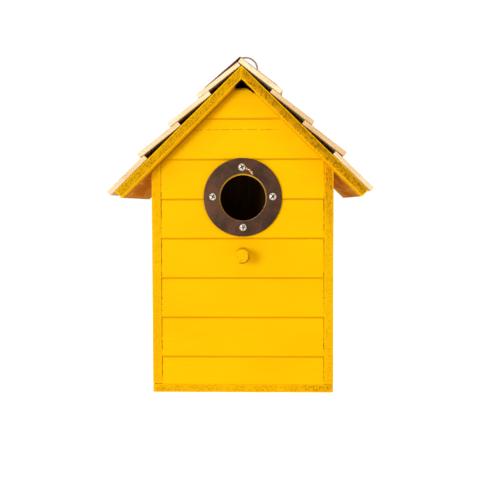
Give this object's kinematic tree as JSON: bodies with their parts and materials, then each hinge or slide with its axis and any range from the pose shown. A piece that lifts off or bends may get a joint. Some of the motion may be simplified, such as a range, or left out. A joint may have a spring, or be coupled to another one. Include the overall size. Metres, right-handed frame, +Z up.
{
  "type": "birdhouse",
  "caption": "Small painted timber birdhouse with lapped front boards, a shingled gable roof, a ringed round entrance, a perch and a hinged clean-out door at the back.",
  "frame": {"origin": "centre of the floor board's underside", "axes": "+Z up, the entrance faces -Y, +X to the right seen from the front"},
  "size_m": [0.1796, 0.1366, 0.2412],
  "materials": {
    "painted_wood": "satin yellow outdoor paint, thin and worn on end grain and corners",
    "raw_wood": "bare softwood",
    "shingle_wood": "bare pale wood, fine straight grain",
    "aged_bronze": "dark brown patina, mottled, with small bright copper scuffs",
    "copper_wire": "dulled copper wire",
    "zinc_steel": "zinc plated, slightly dulled",
    "brass_hinge": "dull antique brass"
  },
  "bodies": {
    "house": {"floor_board": "painted_wood", "left_wall": "painted_wood", "right_wall": "painted_wood", "front_board_1": "painted_wood", "front_board_2": "painted_wood", "front_board_3": "painted_wood", "front_board_4": "painted_wood", "front_board_5": "painted_wood", "front_board_6": "painted_wood", "front_board_7": "painted_wood", "front_board_8": "painted_wood", "back_wall": "painted_wood", "perch": "painted_wood", "roof_panel_left": "painted_wood", "roof_panel_right": "painted_wood", "door_stop_strip": "raw_wood", "shingle_left_1_front": "shingle_wood", "shingle_left_1_middle": "shingle_wood", "shingle_left_1_rear": "shingle_wood", "shingle_left_2_front": "shingle_wood", "shingle_left_2_middle": "shingle_wood", "shingle_left_2_rear": "shingle_wood", "shingle_left_3_front": "shingle_wood", "shingle_left_3_middle": "shingle_wood", "shingle_left_3_rear": "shingle_wood", "shingle_left_4_front": "shingle_wood", "shingle_left_4_middle": "shingle_wood", "shingle_left_4_rear": "shingle_wood", "shingle_right_1_front": "shingle_wood", "shingle_right_1_middle": "shingle_wood", "shingle_right_1_rear": "shingle_wood", "shingle_right_2_front": "shingle_wood", "shingle_right_2_middle": "shingle_wood", "shingle_right_2_rear": "shingle_wood", "shingle_right_3_front": "shingle_wood", "shingle_right_3_middle": "shingle_wood", "shingle_right_3_rear": "shingle_wood", "shingle_right_4_front": "shingle_wood", "shingle_right_4_middle": "shingle_wood", "shingle_right_4_rear": "shingle_wood", "entrance_ring": "aged_bronze", "ridge_cap": "aged_bronze", "hanging_loop": "copper_wire", "ring_screw_top": "zinc_steel", "ring_screw_right": "zinc_steel", "ring_screw_bottom": "zinc_steel", "ring_screw_left": "zinc_steel", "turn_button_screw": "zinc_steel", "hinge_screw_wall_lower": "zinc_steel", "hinge_screw_wall_upper": "zinc_steel", "hinge_leaf_wall": "brass_hinge", "hinge_pin": "brass_hinge"},
    "door": {"rear_door": "painted_wood", "hinge_leaf_door": "brass_hinge", "hinge_screw_door_lower": "zinc_steel", "hinge_screw_door_upper": "zinc_steel"},
    "button": {"turn_button": "painted_wood"}
  },
  "joints": [
    {"name": "door_hinge", "type": "hinge", "parent": "house", "child": "door", "pos_m": [0.0325, 0.056, 0.062], "axis": [0, 0, -1], "range_deg": [0, 165]},
    {"name": "button_turn", "type": "hinge", "parent": "house", "child": "button", "pos_m": [-0.041, 0.0559, 0.086], "axis": [0, 1, 0], "continuous": true}
  ]
}
